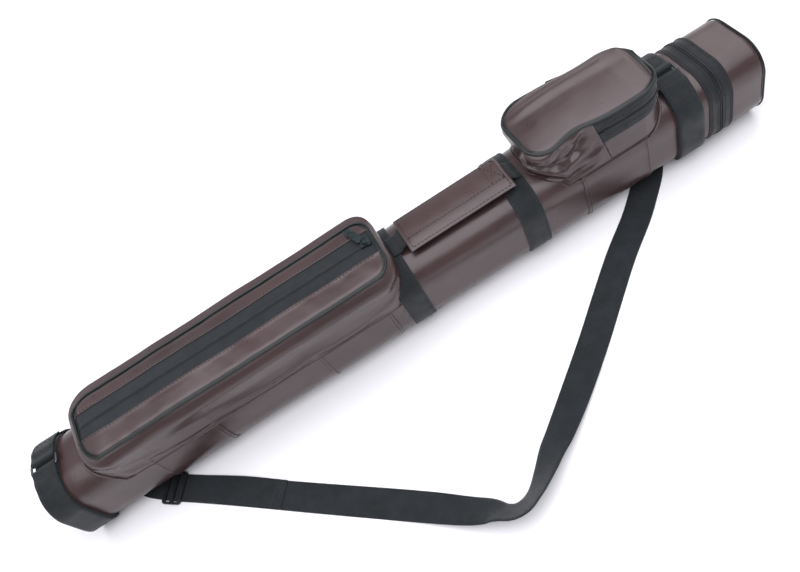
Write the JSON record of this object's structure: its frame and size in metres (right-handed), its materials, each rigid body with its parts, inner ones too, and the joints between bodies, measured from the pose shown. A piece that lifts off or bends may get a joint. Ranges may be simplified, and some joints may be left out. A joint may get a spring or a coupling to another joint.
{
  "type": "cue case",
  "caption": "Padded tubular case for two-piece cues, with a zipped end lid, a long and a small zipped pocket, a sewn carrying handle and an adjustable webbing shoulder strap.",
  "frame": {"origin": "centre of the case's length and width, on the surface it lies on", "axes": "+X from the base to the lid, +Y towards the lid's hinge side, +Z out of the pockets' fronts"},
  "size_m": [0.8425, 0.3295, 0.1308],
  "materials": {
    "vinyl": "padded brown vinyl with a fine grain and a soft sheen",
    "webbing": "black ribbed webbing",
    "tape": "black woven zip tape",
    "teeth": "black coil zip teeth",
    "piping": "black vinyl piping, slightly glossy",
    "zip_metal": "dark enamelled zip slider",
    "ring_metal": "dark nickel wire ring",
    "buckle": "moulded black plastic",
    "core": "stiff liner tube",
    "lining": "black padded lining"
  },
  "bodies": {
    "case": {"base_end_panel": "vinyl", "tube_cover": "vinyl", "tube_core": "core", "base_plug": "core", "divider_upright": "lining", "divider_right": "lining", "divider_left": "lining", "cuff_1": "vinyl", "cuff_2": "vinyl", "cuff_3": "vinyl", "base_band": "webbing", "lower_band": "webbing", "middle_band": "webbing", "upper_band": "webbing", "base_ring": "ring_metal", "upper_ring": "ring_metal", "base_strap_loop": "webbing", "upper_strap_loop": "webbing", "mouth_tape": "tape", "mouth_teeth": "teeth", "lid_hinge_strip": "tape", "long_pocket_back": "vinyl", "long_pocket_wall": "vinyl", "long_pocket_piping": "piping", "long_pocket_front_near": "vinyl", "long_pocket_front_far": "vinyl", "long_zip_tape_near": "tape", "long_zip_tape_far": "tape", "long_zip_teeth_near": "teeth", "long_zip_teeth_far": "teeth", "small_pocket_back": "vinyl", "small_pocket_wall": "vinyl", "small_zip_tape_lower": "tape", "small_zip_teeth_lower": "teeth", "small_pocket_piping": "piping", "small_pocket_front": "vinyl", "shoulder_strap": "webbing", "strap_tail": "webbing", "strap_adjuster": "buckle"},
    "lid": {"lid_cover": "vinyl", "lid_core": "core", "lid_pad": "lining", "lid_top_panel": "vinyl", "lid_rim_piping": "piping", "lid_tape": "tape", "lid_teeth": "teeth"},
    "lid_slider": {"lid_zip_slider": "zip_metal"},
    "lid_pull": {"lid_zip_pull": "zip_metal"},
    "long_slider": {"long_zip_slider": "zip_metal"},
    "long_pull": {"long_zip_pull": "zip_metal"},
    "flap": {"small_zip_tape_upper": "tape", "small_zip_teeth_upper": "teeth", "flap_piping": "piping", "flap_front": "vinyl"},
    "small_slider": {"small_zip_slider": "zip_metal"},
    "small_pull": {"small_zip_pull": "zip_metal"},
    "handle": {"handle_grip": "vinyl", "handle_webbing": "webbing"}
  },
  "joints": [
    {"name": "lid_hinge", "type": "hinge", "parent": "case", "child": "lid", "pos_m": [0.368, 0.0465, 0.0473], "axis": [0, 0, 1], "range_deg": [0, 110]},
    {"name": "lid_slider_travel", "type": "hinge", "parent": "lid", "child": "lid_slider", "pos_m": [0.368, 0.015, 0.0323], "axis": [-1, 0, 0], "range_deg": [0, 50]},
    {"name": "lid_pull_hinge", "type": "hinge", "parent": "lid_slider", "child": "lid_pull", "pos_m": [0.368, 0.04353, 0.01001], "axis": [0, 0.6157, 0.788], "range_deg": [0, 160]},
    {"name": "long_slider_travel", "type": "slide", "parent": "case", "child": "long_slider", "axis": [-1, 0, 0], "range_m": [0, 0.32]},
    {"name": "long_pull_hinge", "type": "hinge", "parent": "long_slider", "child": "long_pull", "pos_m": [-0.006, 0.001, 0.1203], "axis": [0.9272, 0.3746, 0], "range_deg": [0, 160]},
    {"name": "flap_hinge", "type": "hinge", "parent": "case", "child": "flap", "pos_m": [0.235, 0, 0.1303], "axis": [0, -1, 0], "range_deg": [0, 100]},
    {"name": "small_slider_travel", "type": "slide", "parent": "case", "child": "small_slider", "axis": [1, 0, 0], "range_m": [-0.024, 0.018]},
    {"name": "small_pull_hinge", "type": "hinge", "parent": "small_slider", "child": "small_pull", "pos_m": [0.264, 0.0464, 0.1153], "axis": [0, 0, -1], "range_deg": [-15, 145]},
    {"name": "handle_lift", "type": "slide", "parent": "case", "child": "handle", "axis": [0, 0, 1], "range_m": [0, 0.018]}
  ]
}
